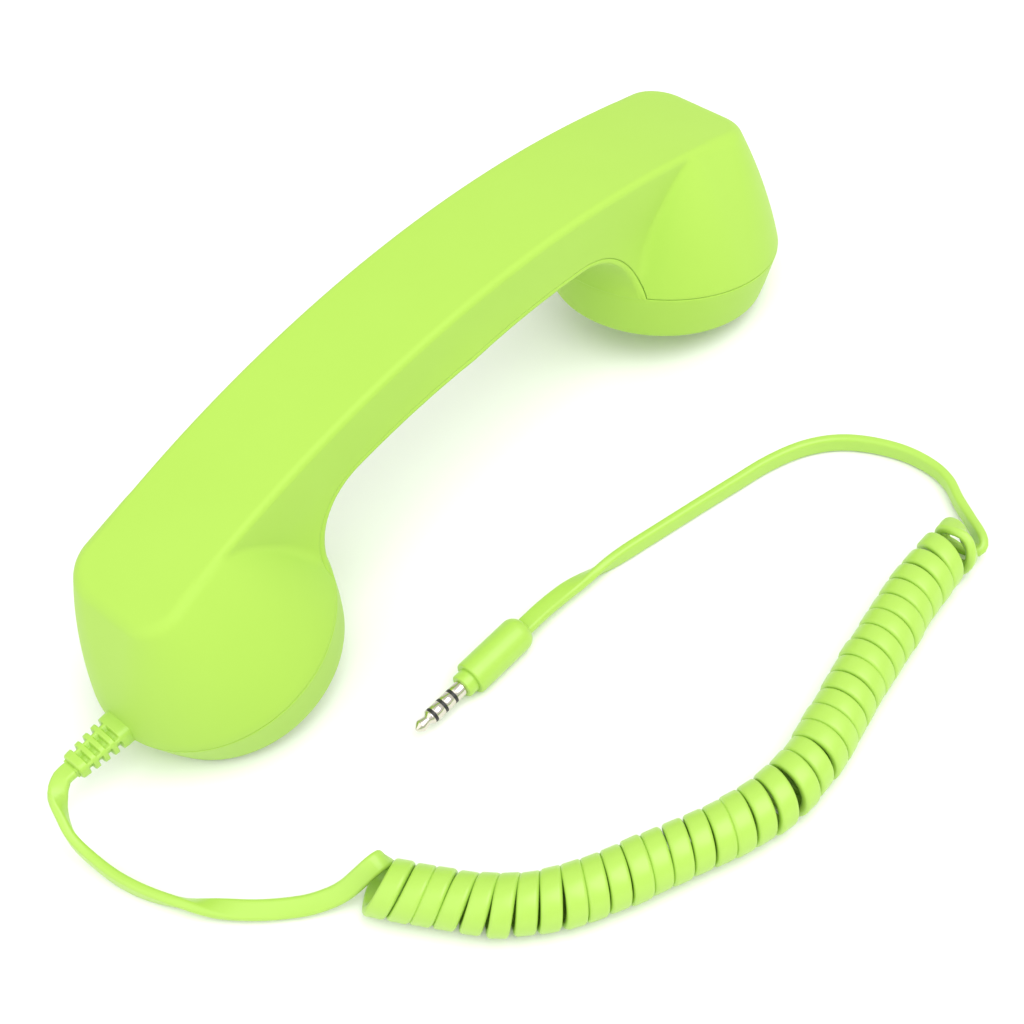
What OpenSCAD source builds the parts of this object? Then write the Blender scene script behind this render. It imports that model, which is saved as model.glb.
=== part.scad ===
// Retro telephone handset with a curly cord and a four-pole 3.5 mm plug.
// X runs along the grip: the mouth cup and its cord are at -X, the ear cup at +X.
// The handset rests on its two rims at z = 0, grip uppermost.

/* [Handset] */
// Distance between the centres of the two cups
cup_pitch = 150; // [140:1:190]
// Height from the rims' lowest points to the middle of the top face
handset_h = 62; // [58:0.5:76]
// Radius of each cup at its parting line
cup_r = 29.3; // [25:0.1:36]
// Lean of each cup, which turns the two faces towards each other
cup_tilt = 13.4; // [8:0.1:16]
// Wall thickness of both shells
wall = 2.2; // [1.8:0.1:2.8]

/* [Grip] */
// Radius of the arched top face
top_arc_r = 275; // [240:1:340]
// Depth of the grip from its top face to its underside
grip_depth = 16.1; // [15:0.1:20]
// Width of the grip across its top edges
grip_top_w = 28.6; // [26:0.1:34]
// Width of the grip across its underside
grip_bottom_w = 27.2; // [25:0.1:33]
// Radius of the hollow where the underside turns down into a cup
neck_r = 10.5; // [6:0.1:11]
// Thickness of the inner shell's edge that shows below the outer shell
lip = 1.2; // [0.8:0.1:1.6]

/* [Cups] */
// Height of a cup's rim ring below the parting line
ring_h = 13.2; // [11:0.1:16]
// Radius of a cup at its rim
rim_r = 26.3; // [24:0.1:33]
// Rounding of the rim's outer edge
rim_round = 2.5; // [1:0.1:3]
// How far the flat top reaches past a cup's centre
crown_reach = 18; // [14:0.1:20]
// Radius of the perforated cap
cap_r = 21.5; // [20:0.1:23]
// Thickness of the perforated cap
cap_t = 2; // [1.6:0.1:2.4]
// Depth of the cap's face below the rim
cap_inset = 0.8; // [0.4:0.1:1.2]
// Radius of each sound hole
sound_hole_r = 1.1; // [0.6:0.1:1.4]
// Thickness of the floor that carries the speaker or the microphone
floor_t = 1.6; // [1.4:0.1:2.2]
// Distance of each shell screw from the cup's axis
boss_y = 18.6; // [18.4:0.1:18.8]
// Outer radius of each shell screw's boss
boss_r = 2.8; // [2.4:0.1:3]

/* [Speaker and microphone] */
// Outer radius of the speaker
speaker_r = 14; // [11:0.1:14.2]
// Radius of the speaker's magnet
magnet_r = 7.5; // [5:0.1:8]
// Height of the speaker's magnet
magnet_h = 4.2; // [3:0.1:6]
// Radius of the microphone capsule
mic_r = 3; // [2:0.1:4.8]
// Height of the microphone capsule
mic_h = 2.7; // [1.5:0.1:4]

/* [Call button] */
// Radius of the call button
button_r = 4.8; // [3.5:0.1:6]
// How far the call button stands out of the grip
button_proud = 1; // [0.6:0.1:1.5]
// Travel of the call button
button_travel = 0.5; // [0.3:0.05:0.6]
// Length of the button board
board_l = 24; // [22:0.5:28]
// Width of the button board
board_w = 14; // [9:0.5:16]

/* [Ballast] */
// Length of each steel ballast bar
ballast_l = 26; // [18:0.5:27]
// Width of each steel ballast bar
ballast_w = 14; // [10:0.5:16]
// Thickness of each steel ballast bar
ballast_t = 5; // [3:0.1:5.5]
// Distance of each ballast bar's centre from the middle of the grip
ballast_x = 31; // [30:0.5:34]

/* [Cord and plug] */
// Width of the flat cord
cord_w = 4.4; // [4:0.1:5]
// Thickness of the flat cord
cord_t = 2.2; // [1.8:0.1:2.6]
// Outer diameter of the curly part
curl_d = 12.7; // [11:0.1:14]
// Length of the strain relief outside the cup
relief_l = 13; // [10:0.5:18]
// Length of the plug's moulded body
mould_l = 17.4; // [14:0.1:24]
// Diameter of the plug's moulded body
mould_d = 8; // [7:0.1:10]
// Diameter of the plug's metal barrel
pin_d = 3.5; // [3.5, 2.5]
// Length of the plug's metal barrel and tip
pin_l = 14; // [12:0.1:15]

/* [Hidden] */
$fn = 64;

lime = "#BEF564";
lime_inner = "#AEE35A";
steel = "#B9BDC2";
black = "#26282A";

eps = 0.01;
clearance = 0.1;         // gap around pieces that drop into place
slide_gap = 0.25;        // gap around the call button
cut = 60;                // reach of the blocks that cut the shells apart

// Places worked out from the sizes
cup_x = cup_pitch / 2;
seam_z = rim_round + (ring_h - rim_round) * cos(cup_tilt) + (rim_r - rim_round) * sin(cup_tilt);
arc_z = handset_h - top_arc_r;
under_r = top_arc_r - grip_depth;
bar_end_x = cup_x - 3;
bar_angle = asin(bar_end_x / top_arc_r);
function arc_height(r, x) = arc_z + sqrt(r * r - x * x);

// A cup's own frame has x outwards, z up along the cup's axis and 0 at the parting line
function in_cup_x(x, z) = (x - cup_x) * cos(cup_tilt) - (z - seam_z) * sin(cup_tilt);
function in_cup_h(x, z) = (x - cup_x) * sin(cup_tilt) + (z - seam_z) * cos(cup_tilt);
function from_cup_x(x, h) = cup_x + x * cos(cup_tilt) + h * sin(cup_tilt);
function from_cup_z(x, h) = seam_z - x * sin(cup_tilt) + h * cos(cup_tilt);

// Crown: the flat top over a cup ends at this point of the top arc
crown_out_x = cup_x + crown_reach;
crown_out = [in_cup_x(crown_out_x, arc_height(top_arc_r, crown_out_x)),
    in_cup_h(crown_out_x, arc_height(top_arc_r, crown_out_x))];
crown_r = 18.8;
crown_step = 0.4;        // how much narrower the crown is than the grip's top
flat_gap = 0.2;          // how far the bowl's flats stand off its parting line
over = 4;                // how far the blanks run on above the top face

// Neck: the underside meets the cup's frame at this height
neck_x = cup_x - (cup_r + neck_r) * cos(cup_tilt);
neck_h = in_cup_h(neck_x, arc_height(under_r, neck_x));
neck_top = 3;            // how far the neck reaches up into the grip
neck_step = 0.15;        // how far the neck's sides stand in from the grip's
split_y = grip_bottom_w / 2 + 0.2;
open_gap = 0.05;         // how much further the outer shell opens than the inner one's skin
lap_w = 0.3;             // width and height of the rebate inside the outer shell's mouth
lap_h = 0.6;

// Floor, cap and screws, as heights in a cup's frame
floor_h = cap_inset + cap_t - ring_h;
floor_top = floor_h + floor_t;
pad_r = 3.6;
pad_top = floor_top + 2;
screw_r = 1.15;
screw_head_r = 2.3;
screw_head_h = 1.6;
pilot_r = 1.2;
recess_r = screw_head_r + 0.2;
cloth_t = 0.3;
cloth_r = 12;
cloth_pocket = 0.4;
hole_pitch = 4;

// Speaker stack
gasket_t = 1;
gasket_w = 2.2;
basket_h = floor_top + gasket_t;
basket_flange = 1.2;
basket_cone_h = 3;
basket_wall = 0.9;
magnet_base = basket_h + basket_flange + basket_cone_h + 1;
coil_r = 4;
coil_wall = 0.5;

// Microphone stack
mic_boot_wall = 2;
mic_boot_floor = 0.8;
mic_boot_r = mic_r + mic_boot_wall + clearance / 2;
mic_base = floor_top + mic_boot_floor;
mic_port_r = 0.8;
socket_wall = 1.2;
socket_h = 3.3;

// Call button, switch and board: heights above the rest surface
plate_bottom = handset_h - grip_depth;
plate_top = plate_bottom + wall;
flange_t = 0.8;
flange_w = 1.2;
button_shoulder = plate_top + 0.05;
button_post_r = 1.4;
button_post = 0.8;
plunger_bottom = button_shoulder + flange_t + button_post;
plunger_r = 1.75;
plunger_l = 1.5;
switch_w = 6;
switch_h = 3.5;
switch_bottom = plunger_bottom + 0.8;
board_bottom = switch_bottom + switch_h;
board_t = 1.2;
board_screw_x = board_l / 2 - 3;
board_post_r = 2.6;
small_screw_r = 0.95;
small_pilot_r = 1;
small_head_r = 1.9;
small_head_h = 1.4;
roof = handset_h - wall;

// Ballast, hung from posts under the top wall
ballast_drop = 0.6;
ballast_post_r = 2.8;
ballast_lean = asin(ballast_x / top_arc_r);
washer_head_r = 4.2;
washer_head_h = 1.6;

// Strain relief and the cord's end, level and on the mouth cup's parting line
relief_z = from_cup_z(cup_r, 0) + 1.17;
relief_w = 7.6;
relief_h = 5.2;
relief_end_w = 6.4;
relief_end_h = 4.5;
relief_head_l = 3.6;
relief_slots = 4;
slot_w = 1.2;
slot_depth = 0.9;
relief_neck_w = 6.4;
relief_neck_h = 4.4;
relief_out_x = from_cup_x(cup_r, 0) + 0.2;
relief_in_x = from_cup_x(cup_r - wall, 0) - 2.4;
relief_end_x = relief_out_x + relief_l;
flange_l = 1.6;
cord_end_x = from_cup_x(12.6, -5);
clamp_x = cord_end_x + 3.4;
clamp_l = 4.4;
clamp_w = 13.6;
clamp_t = 1.6;
clamp_screw_y = 4.6;
clamp_foot_z = 5;

// Plug, lying level on its moulded body and pointing along -X
plug_x = -27.2;
plug_y = -46.4;
plug_z = mould_d / 2;
mould_nose = plug_x - mould_l;
mould_round = 2.8;
collar_r = 2.85;
collar_out = 2.6;
collar_in = 4;
pin_base = mould_nose - collar_out;
pin_r = pin_d / 2;
band_w = 0.7;
band_step = pin_l * 0.218;
core_r = 0.5;
root_r = 1.3;            // radius of the sleeve's root, inside the collar
tip_from = 3 * band_step + band_w / 2;

// Route of the cord's two straight ends and of the curly part's centre line
lead_r = 1.6;
curl_r = curl_d / 2;
curl_z = curl_r;
lead_route = concat([[-relief_end_x, 0, relief_z], [-relief_end_x - 2, 0, relief_z]],
    [for (p = [[4.7, -1.5, 11.4], [7, -4.4, 8.9], [8.3, -8.6, 6.2], [8.7, -14.5, 4], [7.5, -23, 2.6],
        [4.2, -32, 2.2]]) [-relief_end_x - p[0], p[1], p[2]]],
    [[-117.5, -41.5, 2], [-111.5, -50, 2], [-105, -56.5, 2.4], [-99.4, -61, 3.8], [-95.6, -64.2, 5.2],
    [-93.8, -66.6, 6]], [[-92, -70, curl_z]]);
curl_route = [[-92, -70, curl_z], [-87, -79.5, curl_z], [-81, -89.5, curl_z],
    [-73, -97.5, curl_z], [-63, -103.5, curl_z], [-52, -108.5, curl_z],
    [-41, -113.5, curl_z], [-30, -117, curl_z], [-18.5, -117.5, curl_z],
    [-7, -115.5, curl_z], [5, -113, curl_z], [17, -111, curl_z], [29, -109, curl_z],
    [40, -108, curl_z], [49, -108, curl_z]];
tail_route = concat([[49, -108, 5.6], [51.5, -108, 5.2], [55.5, -106, 4], [59, -101.8, 2.7],
    [61.8, -96, 2.1], [63.2, -89.5, 2], [63, -82, 2], [60.5, -74, 2], [56.5, -67.5, 2],
    [50.5, -62.5, 2], [42.5, -59, 2], [33.5, -56.7, 2], [24, -54.4, 2], [14.5, -52.2, 2],
    [5, -50, 2], [-4.5, -48, 2.3], [-13, -46.7, 3.1], [-20, -46.4, 3.8]],
    [[plug_x + 2.5, plug_y, plug_z], [plug_x, plug_y, plug_z]]);

// Wires inside the handset
wire_r = 0.45;
wire_gap = 1.1;
wire_z = plate_top + 3.9;  // height of the wires over the call button
speaker_wire_route = [[-cord_end_x + 0.3, 1.2, relief_z + 0.4], [-cup_x + 8, 4, seam_z + 3.6],
    [-cup_x + 14, 7, seam_z + 12.6], [-cup_x + 22, 8.4, wire_z - 9], [-cup_x + 31, 8.6, wire_z - 4],
    [-cup_x + 47, 8.6, wire_z - 1.5], [0, 8.6, wire_z], [cup_x - 47, 8.6, wire_z - 1.5],
    [cup_x - 31, 8.6, wire_z - 4], [cup_x - 22, 8.4, wire_z - 9], [cup_x - 15, 7, seam_z + 12.6],
    [cup_x - 10.5, 4, seam_z + 2.1]];
mic_wire_route = [[-cord_end_x + 0.3, -1.6, relief_z], [-cup_x - 9, -1.6, seam_z - 2.9],
    [-cup_x - 4, -1.6, seam_z - 0.9], [-cup_x + 0.6, -1, from_cup_z(0, mic_base + mic_h) + 0.9]];

// Frame of the cup on one side, with x outwards
module at_cup(side)
    mirror([side < 0 ? 1 : 0, 0, 0]) translate([cup_x, 0, seam_z])
        rotate([0, cup_tilt, 0]) children();

// Ring swept along a route: one closed polyhedron
function unit(v) = v / norm(v);
function heading(p, i) = unit(p[min(i + 1, len(p) - 1)] - p[max(i - 1, 0)]);
function ring_at(p, i, r, sides) =
    let (t = heading(p, i), s = unit(cross(t, [0, 0, 1])), n = cross(s, t))
    [for (k = [0:sides - 1]) p[i] + r * (cos(360 * k / sides) * s + sin(360 * k / sides) * n)];
module tube(p, r, sides) {
    last = len(p) - 1;
    points = [for (i = [0:last]) each ring_at(p, i, r, sides)];
    walls = [for (i = [0:last - 1], k = [0:sides - 1]) let (m = (k + 1) % sides)
        [i * sides + k, i * sides + m, (i + 1) * sides + m, (i + 1) * sides + k]];
    first_cap = [for (k = [sides - 1:-1:0]) k];
    last_cap = [for (k = [0:sides - 1]) last * sides + k];
    polyhedron(points, concat(walls, [first_cap, last_cap]), convexity = 6);
}

// Arched bar of the grip, taller than the grip until the top face's arch cuts it
module grip_bar(inset = 0) {
    flare = (grip_top_w - grip_bottom_w) / 2 / grip_depth;
    top_w = grip_top_w / 2 + over * flare - inset;
    translate([0, 0, arc_z]) rotate([90, 0, 0]) rotate([0, 0, 90 - bar_angle])
        rotate_extrude(angle = 2 * bar_angle, $fn = 360)
            polygon([[under_r + inset, -grip_bottom_w / 2 + inset], [top_arc_r + over, -top_w],
                [top_arc_r + over, top_w], [under_r + inset, grip_bottom_w / 2 - inset]]);
}

// Bowl of a cup: a cone from its round parting line, flattened at its sides and outer end.
// It runs on above the crown, which the arch of the top face cuts.
module bowl(inset = 0) {
    side_inset = inset * 1.15;
    base = cup_r + flat_gap - side_inset;
    crown_end = crown_out[0] - side_inset;
    half_w = grip_top_w / 2 - crown_step - side_inset;
    rise = 1 + over / crown_out[1];
    intersection() {
        cylinder(r1 = cup_r - inset, h = crown_out[1] + over, $fn = 96,
            r2 = cup_r - inset - (cup_r - crown_r + side_inset - inset) * rise);
        translate([0, cut / 2, 0]) rotate([90, 0, 0]) linear_extrude(cut)
            polygon([[-cut / 2, -1], [base + 1, -1], [base, 0],
                [base - (base - crown_end) * rise, crown_out[1] + over],
                [-cut / 2, crown_out[1] + over]]);
        translate([-cut / 2, 0, 0]) rotate([90, 0, 90]) linear_extrude(cut)
            polygon([[-base - 1, -1], [base + 1, -1], [base, 0],
                [base - (base - half_w) * rise, crown_out[1] + over],
                [-base + (base - half_w) * rise, crown_out[1] + over], [-base, 0]]);
    }
}

// Solid of revolution that fills the hollow between the underside and a cup
module neck_round(inset = 0)
    rotate_extrude($fn = 96) polygon(concat([[0, 0], [cup_r - inset, 0]],
        [for (a = [180:-9:90]) [cup_r + neck_r + (neck_r + inset) * cos(a),
            neck_h - neck_r + (neck_r + inset) * sin(a)]],
        [[cup_r + neck_r, neck_h + neck_top], [0, neck_h + neck_top]]));

module neck(inset = 0)
    intersection() {
        neck_round(inset);
        translate([-cut, -grip_bottom_w / 2 + neck_step + inset, -eps])
            cube([cut, grip_bottom_w - 2 * (neck_step + inset), cut]);
    }

// Rim ring of a cup, solid, below the parting line
module rim_ring()
    rotate_extrude($fn = 96) polygon(concat([[0, 0], [cup_r, 0]],
        [for (a = [0:-15:-90]) [rim_r - rim_round + rim_round * cos(a),
            rim_round - ring_h + rim_round * sin(a)]], [[0, -ring_h]]));

// Closed upper body of the handset; inset moves every face inwards
module handset_solid(inset = 0)
    intersection() {
        union() {
            grip_bar(inset);
            for (side = [-1, 1]) at_cup(side) {
                bowl(inset);
                neck(inset);
            }
        }
        translate([0, cut, arc_z]) rotate([90, 0, 0])
            cylinder(r = top_arc_r - inset, h = 2 * cut, $fn = 360);
    }

// Skin of the underside and of the two necks, to a given depth and half width
module under_zone(depth, half_w)
    difference() {
        translate([-cup_x + 9, -half_w, seam_z]) cube([cup_pitch - 18, 2 * half_w, cut]);
        translate([0, half_w + 1, arc_z]) rotate([90, 0, 0]) difference() {
            cylinder(r = top_arc_r + 1, h = 2 * half_w + 2, $fn = 360);
            translate([0, 0, -eps]) cylinder(r = under_r + depth, h = 2 * half_w + 3, $fn = 360);
        }
        for (side = [-1, 1]) at_cup(side) translate([0, 0, -eps]) neck_round(depth);
    }

// What the inner shell takes of the body
module inner_zone() under_zone(lip, split_y);

// Opening in the two shells for the strain relief's neck
module relief_hole()
    translate([-relief_out_x - 2, -relief_neck_w / 2 - clearance, relief_z - relief_neck_h / 2 - clearance])
        cube([wall + 6, relief_neck_w + 2 * clearance, relief_neck_h + 2 * clearance]);

module at_shell_screws()
    for (side = [-1, 1]) at_cup(side) for (y = [-boss_y, boss_y]) translate([0, y, 0]) children();

module at_board_screws()
    for (x = [-board_screw_x, board_screw_x]) translate([x, 0, 0]) children();

module at_ballast()
    for (side = [-1, 1])
        translate([side * ballast_x, 0, arc_height(top_arc_r - wall, ballast_x)])
            rotate([0, side * ballast_lean, 0]) children();

module at_clamp_screws()
    for (y = [-clamp_screw_y, clamp_screw_y]) translate([-clamp_x, y, 0]) children();

module outer_shell() {
    boss_l = 26;
    screw_l = 9;
    color(lime) difference() {
        union() {
            difference() {
                handset_solid();
                handset_solid(wall);
                for (side = [-1, 1]) at_cup(side)
                    translate([0, 0, -1]) cylinder(r = cup_r - wall + lap_w, h = 1 + lap_h, $fn = 96);
            }
            for (side = [-1, 1]) at_cup(side) intersection() {
                union() for (y = [-boss_y, boss_y]) translate([0, y, eps]) cylinder(r = boss_r, h = boss_l);
                bowl(wall / 2);
            }
            at_board_screws() translate([0, 0, board_bottom + board_t])
                cylinder(r = board_post_r, h = roof - board_bottom - board_t + wall / 2);
            at_ballast() translate([0, 0, 0.2 - ballast_drop - ballast_t])
                cylinder(r = ballast_post_r, h = ballast_t + wall / 2);
        }
        inner_zone();
        under_zone(wall + open_gap, grip_bottom_w / 2 - wall + open_gap);
        relief_hole();
        at_shell_screws() translate([0, 0, -1]) cylinder(r = pilot_r, h = screw_l + 1);
        at_board_screws() translate([0, 0, board_bottom]) cylinder(r = small_pilot_r, h = 5.2);
        at_ballast() translate([0, 0, -ballast_t - 1]) cylinder(r = pilot_r, h = ballast_t + 1.6);
    }
    // Lower ends of the screw bosses, which reach down into the rim rings
    color(lime) at_shell_screws() translate([0, 0, pad_top]) difference() {
        cylinder(r = boss_r, h = -pad_top + eps);
        translate([0, 0, -1]) cylinder(r = pilot_r, h = 2 - pad_top);
    }
}

module inner_shell()
    color(lime_inner) difference() {
        union() {
            difference() {
                union() {
                    intersection() {
                        handset_solid();
                        inner_zone();
                    }
                    for (side = [-1, 1]) at_cup(side) rim_ring();
                }
                handset_solid(wall);
                for (side = [-1, 1]) at_cup(side) {
                    translate([0, 0, floor_top]) cylinder(r1 = rim_r - wall + 0.4, r2 = cup_r - wall, h = -floor_top + eps);
                    translate([0, 0, -ring_h - 1]) cylinder(r = cap_r + clearance, h = floor_h + ring_h + 1);
                }
            }
            at_shell_screws() translate([0, 0, floor_h + eps]) cylinder(r = pad_r, h = pad_top - floor_h - eps);
            at_cup(1) translate([0, 0, floor_h + eps]) difference() {
                cylinder(r = speaker_r + 1.2, h = floor_t + 2.4);
                translate([0, 0, floor_t - eps]) cylinder(r = speaker_r + 0.2, h = 3);
            }
            at_cup(-1) translate([0, 0, floor_h + eps])
                cylinder(r = mic_boot_r + socket_wall + clearance, h = floor_t + socket_h);
            translate([-clamp_x - clamp_l / 2, -clamp_w / 2, clamp_foot_z])
                cube([clamp_l, clamp_w, relief_z - cord_t / 2 - clamp_foot_z]);
        }
        at_cup(1) translate([0, 0, floor_h - 1]) cylinder(r = speaker_r - gasket_w, h = floor_t + 2);
        at_cup(-1) {
            translate([0, 0, floor_h - 1]) cylinder(r = mic_port_r + 0.4, h = floor_t + 2);
            translate([0, 0, floor_top]) cylinder(r = mic_boot_r + clearance, h = socket_h + 1);
        }
        at_shell_screws() {
            translate([0, 0, floor_h - 1]) cylinder(r = recess_r, h = screw_head_h + 1.1);
            translate([0, 0, floor_h]) cylinder(r = pilot_r + 0.1, h = pad_top - floor_h + 1);
        }
        at_clamp_screws() translate([0, 0, clamp_foot_z + 1.5]) cylinder(r = small_pilot_r, h = 8);
        translate([0, 0, plate_bottom - 1]) cylinder(r = button_r + slide_gap, h = wall + 2);
        relief_hole();
    }

// Perforated cap: a hole in the middle and two rings around it
module cap()
    difference() {
        translate([0, 0, floor_h - cap_t]) cylinder(r = cap_r, h = cap_t);
        translate([0, 0, floor_h - cloth_pocket]) cylinder(r = cloth_r + clearance, h = 1);
        for (ring = [0:2], k = [0:max(1, 6 * ring) - 1]) rotate([0, 0, 360 * k / max(1, 6 * ring)])
            translate([ring * hole_pitch, 0, floor_h - cap_t - 1]) cylinder(r = sound_hole_r, h = cap_t + 2);
    }
module cloth()
    translate([0, 0, floor_h - cloth_pocket + (cloth_pocket - cloth_t) / 2]) cylinder(r = cloth_r, h = cloth_t);

module ear_cap() color(lime_inner) at_cup(1) cap();
module mouth_cap() color(lime_inner) at_cup(-1) cap();
module ear_cloth() color(black) at_cup(1) cloth();
module mouth_cloth() color(black) at_cup(-1) cloth();

module speaker_gasket()
    color("#3A3A3C") at_cup(1) translate([0, 0, floor_top]) difference() {
        cylinder(r = speaker_r, h = gasket_t);
        translate([0, 0, -1]) cylinder(r = speaker_r - gasket_w, h = gasket_t + 2);
    }

module speaker_basket() {
    flange_top = basket_h + basket_flange;
    cone_top = flange_top + basket_cone_h;
    inner_r = speaker_r - gasket_w;
    color("#A4A6A8") at_cup(1) rotate_extrude()
        polygon([[inner_r, basket_h], [speaker_r, basket_h], [speaker_r, flange_top],
            [inner_r + basket_wall, flange_top], [magnet_r + basket_wall, cone_top],
            [magnet_r + basket_wall, cone_top + 1], [coil_r + 1.4, cone_top + 1],
            [coil_r + 1.4, cone_top], [magnet_r, cone_top], [inner_r, flange_top]]);
}

module speaker_diaphragm() {
    edge_r = speaker_r - gasket_w - 0.1;
    color("#2E2C2A") at_cup(1) rotate_extrude()
        polygon([[0, basket_h + 1.1], [coil_r, basket_h + 1.1], [edge_r, basket_h + 0.3],
            [edge_r, basket_h + 0.7], [coil_r, basket_h + 1.5], [0, basket_h + 1.5]]);
}

module voice_coil()
    color("#B87333") at_cup(1) translate([0, 0, basket_h + 1.5]) difference() {
        cylinder(r = coil_r, h = 4);
        translate([0, 0, -1]) cylinder(r = coil_r - coil_wall, h = 6);
    }

// Pot magnet with the slot that the voice coil moves in
module speaker_magnet()
    color(steel) at_cup(1) translate([0, 0, magnet_base]) difference() {
        cylinder(r = magnet_r, h = magnet_h);
        translate([0, 0, -1]) difference() {
            cylinder(r = coil_r + 0.3, h = magnet_h);
            translate([0, 0, -1]) cylinder(r = coil_r - coil_wall - 0.3, h = magnet_h + 2);
        }
    }

module mic_boot()
    color(black) at_cup(-1) difference() {
        translate([0, 0, floor_top]) cylinder(r = mic_boot_r, h = mic_boot_floor + mic_h + 0.4);
        translate([0, 0, mic_base]) cylinder(r = mic_r + clearance / 2, h = mic_h + 2);
        translate([0, 0, floor_top - 1]) cylinder(r = mic_port_r, h = 3);
    }

module mic_capsule()
    color(steel) at_cup(-1) translate([0, 0, mic_base]) cylinder(r = mic_r, h = mic_h);

module button_board()
    color("#2F6B3A") difference() {
        translate([-board_l / 2, -board_w / 2, board_bottom]) cube([board_l, board_w, board_t]);
        at_board_screws() translate([0, 0, board_bottom - 1]) cylinder(r = small_screw_r + 0.15, h = board_t + 2);
    }

module board_screws()
    color(steel) at_board_screws() {
        translate([0, 0, board_bottom - small_head_h]) cylinder(r = small_head_r, h = small_head_h);
        translate([0, 0, board_bottom - eps]) cylinder(r = small_screw_r, h = 5);
    }

module tact_switch()
    color(black) difference() {
        translate([-switch_w / 2, -switch_w / 2, switch_bottom]) cube([switch_w, switch_w, switch_h]);
        translate([0, 0, switch_bottom - 1]) cylinder(r = plunger_r + 0.1, h = plunger_l + button_travel + 0.7);
    }

module switch_plunger()
    color("#E8E4DA") translate([0, 0, plunger_bottom]) cylinder(r = plunger_r, h = plunger_l);

module call_button()
    color(lime) {
        translate([0, 0, plate_bottom - button_proud]) cylinder(r = button_r, h = wall + button_proud + 0.1);
        translate([0, 0, button_shoulder]) cylinder(r = button_r + flange_w, h = flange_t);
        translate([0, 0, button_shoulder]) cylinder(r = button_post_r, h = flange_t + button_post);
    }

module ballast_bars()
    color("#8C8F94") at_ballast() difference() {
        translate([-ballast_l / 2, -ballast_w / 2, -ballast_drop - ballast_t]) cube([ballast_l, ballast_w, ballast_t]);
        translate([0, 0, -ballast_t - 1]) cylinder(r = ballast_post_r + 0.2, h = ballast_t + 2);
    }

module ballast_screws()
    color(steel) at_ballast() {
        translate([0, 0, -ballast_drop - ballast_t - washer_head_h]) cylinder(r = washer_head_r, h = washer_head_h);
        translate([0, 0, -ballast_drop - ballast_t - eps]) cylinder(r = screw_r, h = ballast_t + 0.8);
    }

module shell_screws()
    color(steel) at_shell_screws() {
        translate([0, 0, floor_h + 0.05]) cylinder(r = screw_head_r, h = screw_head_h);
        translate([0, 0, floor_h + 0.1]) cylinder(r = screw_r, h = 16);
    }

module cord_clamp()
    color(black) difference() {
        translate([-clamp_x - clamp_l / 2, -clamp_w / 2, relief_z + cord_t / 2]) cube([clamp_l, clamp_w, clamp_t]);
        at_clamp_screws() translate([0, 0, relief_z]) cylinder(r = small_screw_r + 0.15, h = 6);
    }

module clamp_screws()
    color(steel) at_clamp_screws() {
        translate([0, 0, relief_z + cord_t / 2 + clamp_t]) cylinder(r = small_head_r, h = small_head_h);
        translate([0, 0, clamp_foot_z + 2]) cylinder(r = small_screw_r, h = relief_z + cord_t / 2 + clamp_t - clamp_foot_z - 2 + eps);
    }

module wire_pair(route)
    for (k = [0, 1]) tube([for (p = route) p + [0, k * wire_gap, 0]], wire_r, 8);
module speaker_leads() color("#C23B30") wire_pair(speaker_wire_route);
module mic_leads() color("#E6E6E6") wire_pair(mic_wire_route);

// Jacketed end of the cord, from the strain relief's mouth to just past the clamp
module cord_inner_end()
    color(lime) translate([-relief_end_x, -cord_w / 2, relief_z - cord_t / 2])
        cube([relief_end_x - cord_end_x, cord_w, cord_t]);

module strain_relief() {
    taper_l = relief_l - relief_head_l;
    slot_pitch = taper_l / (relief_slots + 0.5);
    color(lime) difference() {
        union() {
            translate([-relief_out_x - relief_head_l, -relief_w / 2, relief_z - relief_h / 2])
                cube([relief_head_l, relief_w, relief_h]);
            hull() {
                translate([-relief_out_x - relief_head_l, -relief_w / 2 + 0.3, relief_z - relief_h / 2 + 0.3])
                    cube([eps, relief_w - 0.6, relief_h - 0.6]);
                translate([-relief_end_x, -relief_end_w / 2, relief_z - relief_end_h / 2])
                    cube([eps, relief_end_w, relief_end_h]);
            }
            translate([-relief_out_x - 1, -relief_neck_w / 2, relief_z - relief_neck_h / 2])
                cube([relief_out_x - relief_in_x + 1, relief_neck_w, relief_neck_h]);
            translate([-relief_in_x, -relief_w / 2 - 0.6, relief_z - relief_h / 2 - 0.4])
                cube([flange_l, relief_w + 1.2, relief_h + 0.8]);
        }
        translate([-relief_end_x - 1, -cord_w / 2, relief_z - cord_t / 2])
            cube([relief_end_x - relief_in_x + flange_l + 3, cord_w, cord_t]);
        for (k = [0:relief_slots - 1], side = [-1, 1])
            translate([-relief_out_x - relief_head_l - (k + 0.25) * slot_pitch - slot_w,
                -relief_w, relief_z + side * (relief_h / 2 - slot_depth + 1.5 - 0.12 * k) - 1.5])
                cube([slot_w, 2 * relief_w, 3]);
    }
}

module lead_cord() color(lime) tube(lead_route, lead_r, 8);
module curly_cord() color(lime) tube(curl_route, curl_r, 12);
module tail_cord() color(lime) tube(tail_route, lead_r, 8);

// Frame of the plug: x runs from the moulded body's nose towards the tip
module at_plug(x) translate([pin_base + collar_out - x, plug_y, plug_z]) rotate([0, -90, 0]) children();
module washer(r, bore, from, to)
    at_plug(from) difference() {
        cylinder(r = r, h = to - from);
        translate([0, 0, -1]) cylinder(r = bore, h = to - from + 2);
    }

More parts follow.
